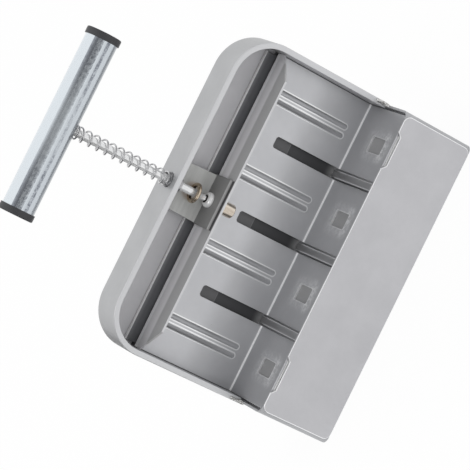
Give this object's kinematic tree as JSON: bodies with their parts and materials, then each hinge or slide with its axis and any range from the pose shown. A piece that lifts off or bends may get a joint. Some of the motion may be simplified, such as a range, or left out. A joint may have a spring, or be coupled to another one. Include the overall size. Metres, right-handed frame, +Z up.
{
  "type": "soil blocker",
  "caption": "Hand soil blocker: a sheet-metal mould divided into square cells, with a sprung pusher on a T-handle that presses and ejects the soil blocks.",
  "frame": {"origin": "centre of the mould's footprint, at the height of its lower rim", "axes": "+X along the row of cells, +Y from the front wall to the back wall, +Z upwards along the plunger rod"},
  "size_m": [0.2274, 0.056, 0.2769],
  "materials": {
    "galvanised": "satin galvanised sheet",
    "dull_steel": "dull galvanised sheet",
    "weld": "rough weld",
    "dark_steel": "dark satin",
    "pad_steel": "matt grey",
    "bracket_steel": "bare rolled sheet",
    "bright_steel": "bright plated",
    "tinted_steel": "heat-tinted",
    "spring_steel": "plated wire",
    "zinc_tube": "bright zinc plate",
    "cap_plastic": "matt"
  },
  "bodies": {
    "mould": {"mould_shell": "galvanised", "front_plate": "galvanised", "divider_left": "dull_steel", "divider_middle": "dull_steel", "divider_right": "dull_steel", "frame_bar": "galvanised", "back_panel": "dull_steel", "frame_welds": "weld", "guide_bush": "dark_steel"},
    "plunger": {"pusher_sheet": "galvanised", "press_pad_1": "pad_steel", "press_pad_2": "pad_steel", "press_pad_3": "pad_steel", "press_pad_4": "pad_steel", "seed_pins": "pad_steel", "stiffener_bar": "dark_steel", "stop_bracket": "bracket_steel", "plunger_rod": "bright_steel", "rod_collar": "tinted_steel", "dome_nut": "bright_steel", "sleeve_nut": "tinted_steel", "return_spring": "spring_steel", "handle_tube": "zinc_tube", "handle_anchor": "dull_steel", "end_cap_left": "cap_plastic", "end_cap_right": "cap_plastic"}
  },
  "joints": [
    {"name": "plunger_slide", "type": "slide", "parent": "mould", "child": "plunger", "axis": [0, 0, -1], "range_m": [0, 0.05], "stiffness_N_per_m": 700, "springref_m": -0.02, "deforming": ["return_spring"]}
  ]
}
